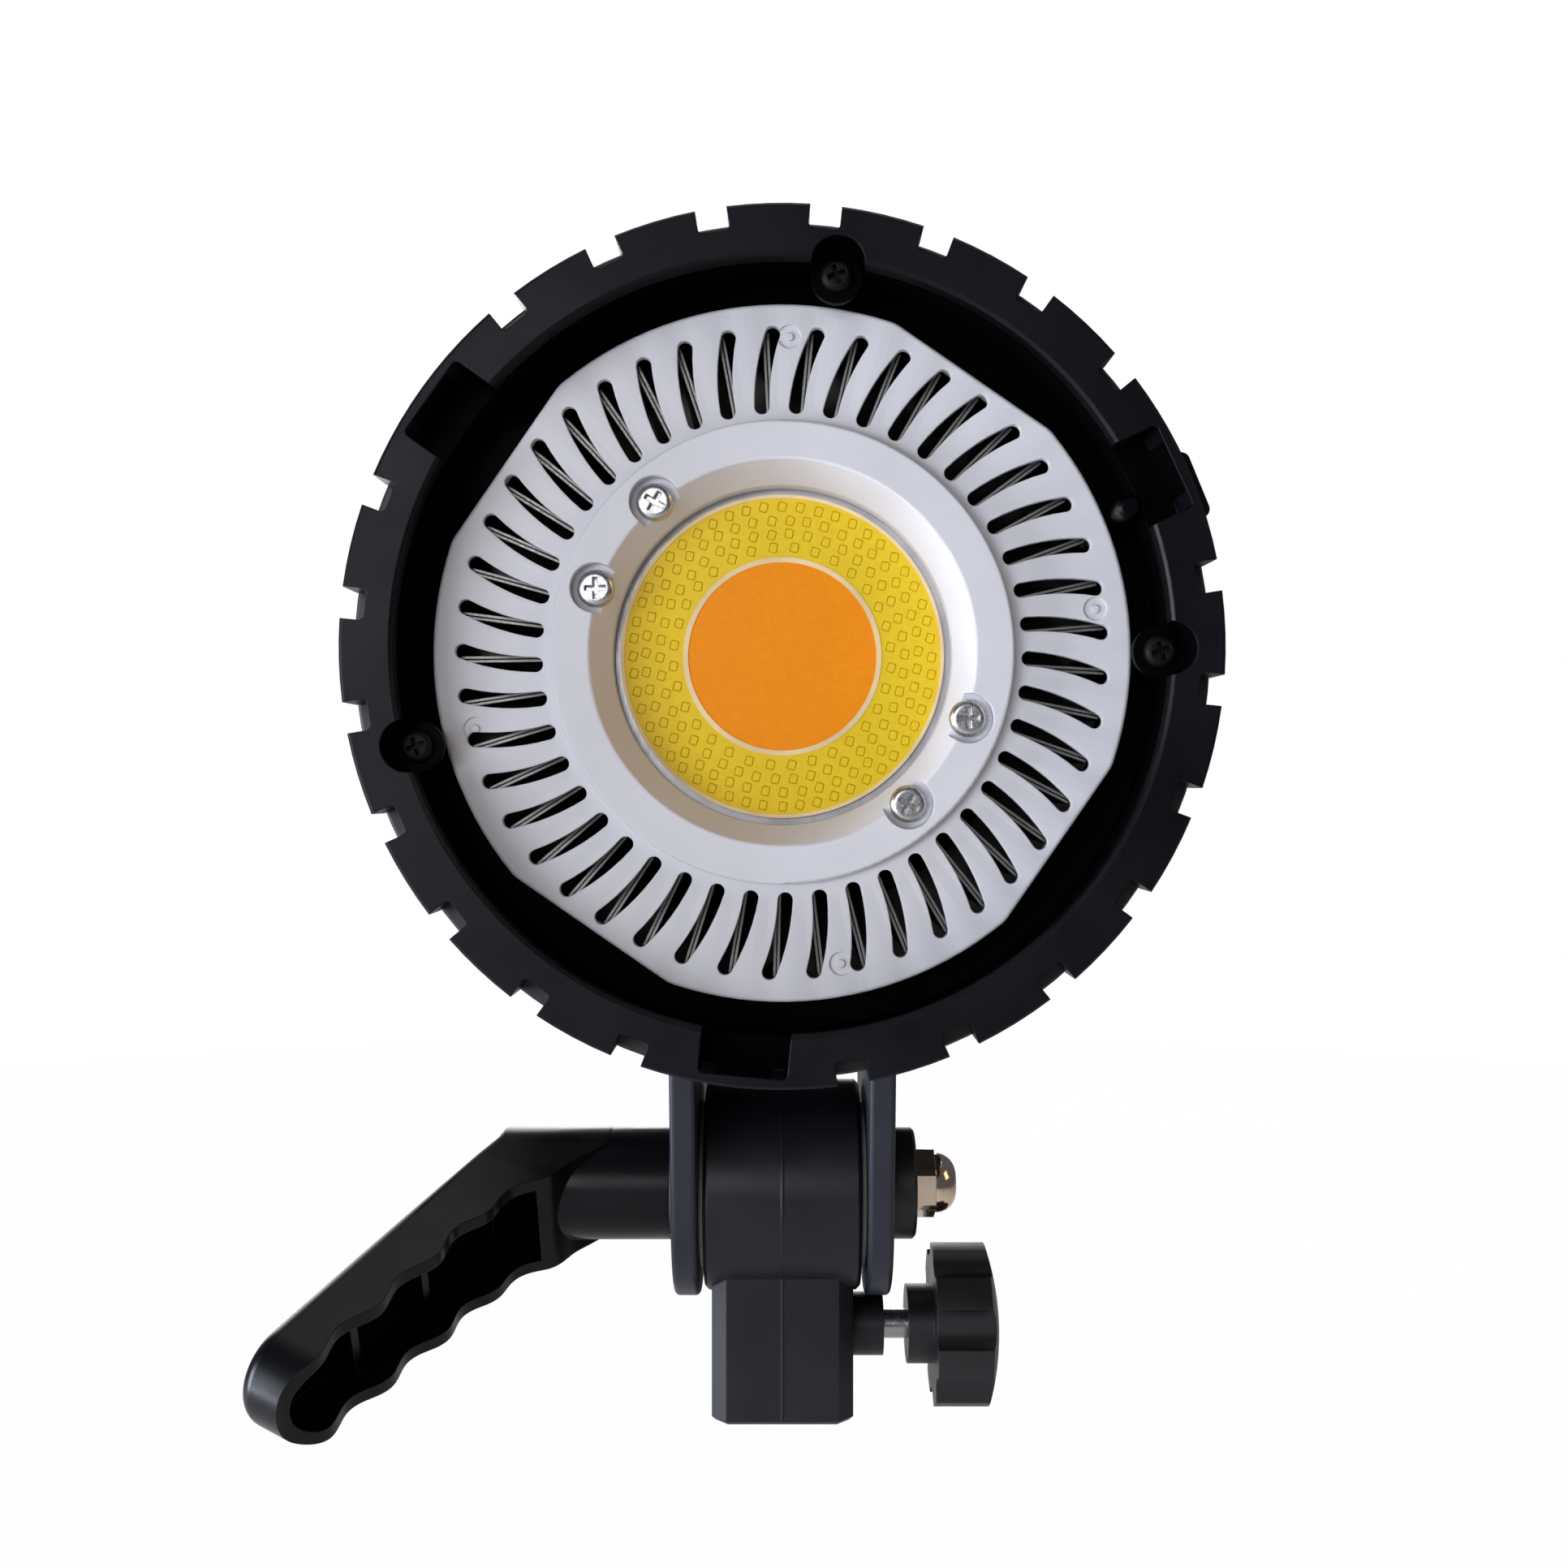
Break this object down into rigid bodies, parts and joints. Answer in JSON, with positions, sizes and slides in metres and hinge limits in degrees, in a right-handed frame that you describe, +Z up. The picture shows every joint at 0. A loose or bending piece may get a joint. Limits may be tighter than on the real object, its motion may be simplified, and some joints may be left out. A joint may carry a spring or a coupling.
{
  "type": "studio spotlight",
  "caption": "Bi-colour chip-on-board LED studio spotlight with a bayonet front, on a tilt bracket with a clamp handle and spigot socket.",
  "frame": {"origin": "centre of the stand socket's mouth, at the bottom of the stem", "axes": "+Z up along the stand socket, -Y the way the light shines at rest, +X to the right seen from the front; the head tilts about X"},
  "size_m": [0.1686, 0.231, 0.2246],
  "materials": {
    "ring_plastic": "satin black moulding",
    "barrel_plastic": "fine-textured black moulding",
    "white_paint": "satin white paint",
    "screw_zinc": "bright zinc",
    "screw_black": "black oxide",
    "aluminium": "bare",
    "copper_base": "bare copper",
    "silicone_cream": "cured silicone",
    "phosphor_cool": "phosphor gel",
    "phosphor_warm": "phosphor gel",
    "fan_plastic": "glass-filled black",
    "board_green": "solder mask",
    "component_black": "epoxy",
    "can_sleeve": "shrink sleeve",
    "ferrite": "sintered",
    "spring_steel": "drawn wire",
    "bracket_paint": "satin black paint",
    "handle_plastic": "satin-gloss black nylon",
    "knob_rubber": "soft matt black",
    "chrome": "bright plated",
    "brass": "turned",
    "washer_nylon": "natural nylon",
    "panel_film": "printed film",
    "lcd_glass": "clear cover",
    "lcd_cell": "liquid crystal cell",
    "button_plastic": "grey moulding",
    "inlet_plastic": "moulded black",
    "pin_nickel": "nickel plated"
  },
  "bodies": {
    "stand": {"stand_block": "knob_rubber", "handle_washer": "washer_nylon", "friction_washers": "washer_nylon", "tilt_bolt": "spring_steel", "tilt_bush": "knob_rubber", "acorn_nut": "chrome", "knob_insert": "brass"},
    "head": {"bayonet_ring": "ring_plastic", "ring_screws": "screw_black", "front_barrel": "barrel_plastic", "vent_plate": "white_paint", "cob_retainer": "white_paint", "retainer_screws": "screw_zinc", "cob_substrate": "aluminium", "cob_dams": "silicone_cream", "cool_phosphor": "phosphor_cool", "warm_phosphor": "phosphor_warm", "heat_spreader": "copper_base", "heat_sink": "aluminium", "heat_sink_screws": "screw_black", "thermal_switch": "component_black", "fan_frame": "fan_plastic", "fan_screws": "screw_black", "rear_barrel": "barrel_plastic", "barrel_screws": "screw_black", "driver_board": "board_green", "driver_transformer": "ferrite", "driver_capacitors": "can_sleeve", "driver_transistors": "component_black", "board_standoffs": "brass", "rear_cover": "barrel_plastic", "cover_screws": "screw_black", "control_panel": "panel_film", "lcd_window": "lcd_glass", "lcd_module": "lcd_cell", "control_board": "board_green", "encoders": "component_black", "button_switches": "component_black", "power_switch_body": "inlet_plastic", "mains_inlet": "inlet_plastic", "inlet_pins": "pin_nickel", "fuse_cap": "inlet_plastic", "tilt_yoke": "bracket_paint", "yoke_screws": "screw_black", "lock_spring": "spring_steel"},
    "bayonet_release": {"release_lever": "handle_plastic", "lock_pin": "screw_black"},
    "fan": {"fan_rotor": "fan_plastic"},
    "brightness_dial": {"brightness_knob": "knob_rubber", "brightness_shaft": "button_plastic"},
    "colour_dial": {"colour_knob": "knob_rubber", "colour_shaft": "button_plastic"},
    "mode_key": {"mode_button": "button_plastic"},
    "preset_key": {"preset_button": "button_plastic"},
    "rocker": {"power_rocker": "inlet_plastic"},
    "clamp_handle": {"tilt_handle": "handle_plastic", "handle_insert": "spring_steel"},
    "clamp_pad": {"pressure_pad": "washer_nylon"},
    "clamp_knob": {"star_knob": "knob_rubber", "clamp_screw": "spring_steel"}
  },
  "joints": [
    {"name": "head_tilt", "type": "hinge", "parent": "stand", "child": "head", "pos_m": [0, 0, 0.0455], "axis": [1, 0, 0], "range_deg": [-90, 90]},
    {"name": "release_slide", "type": "slide", "parent": "head", "child": "bayonet_release", "axis": [0, 1, 0], "range_m": [0, 0.005], "stiffness_N_per_m": 400, "springref_m": -0.004, "deforming": ["lock_spring"]},
    {"name": "fan_spin", "type": "hinge", "parent": "head", "child": "fan", "pos_m": [0, 0.014, 0.152], "axis": [0, 1, 0], "continuous": true},
    {"name": "brightness_turn", "type": "hinge", "parent": "head", "child": "brightness_dial", "pos_m": [-0.028, 0.144, 0.155], "axis": [0, 1, 0], "continuous": true},
    {"name": "colour_turn", "type": "hinge", "parent": "head", "child": "colour_dial", "pos_m": [0.028, 0.144, 0.155], "axis": [0, 1, 0], "continuous": true},
    {"name": "mode_press", "type": "slide", "parent": "head", "child": "mode_key", "axis": [0, -1, 0], "range_m": [0, 0.0008], "stiffness_N_per_m": 800, "springref_m": -0.0008},
    {"name": "preset_press", "type": "slide", "parent": "head", "child": "preset_key", "axis": [0, -1, 0], "range_m": [0, 0.0008], "stiffness_N_per_m": 800, "springref_m": -0.0008},
    {"name": "rocker_tip", "type": "hinge", "parent": "head", "child": "rocker", "pos_m": [-0.024, 0.137, 0.119], "axis": [0, 0, -1], "range_deg": [0, 16]},
    {"name": "handle_turn", "type": "hinge", "parent": "stand", "child": "clamp_handle", "pos_m": [-0.03, 0, 0.0455], "axis": [1, 0, 0], "range_deg": [-180, 0]},
    {"name": "pad_travel", "type": "slide", "parent": "stand", "child": "clamp_pad", "axis": [1, 0, 0], "range_m": [-0.00305, 0.00205]},
    {"name": "knob_turn", "type": "hinge", "parent": "clamp_pad", "child": "clamp_knob", "pos_m": [0.03, 0, 0.0159], "axis": [1, 0, 0], "range_deg": [-1080, 720]}
  ],
  "couplings": [
    {"joint": "pad_travel", "follows": "knob_turn", "m_per_rad": 0.00015915}
  ]
}
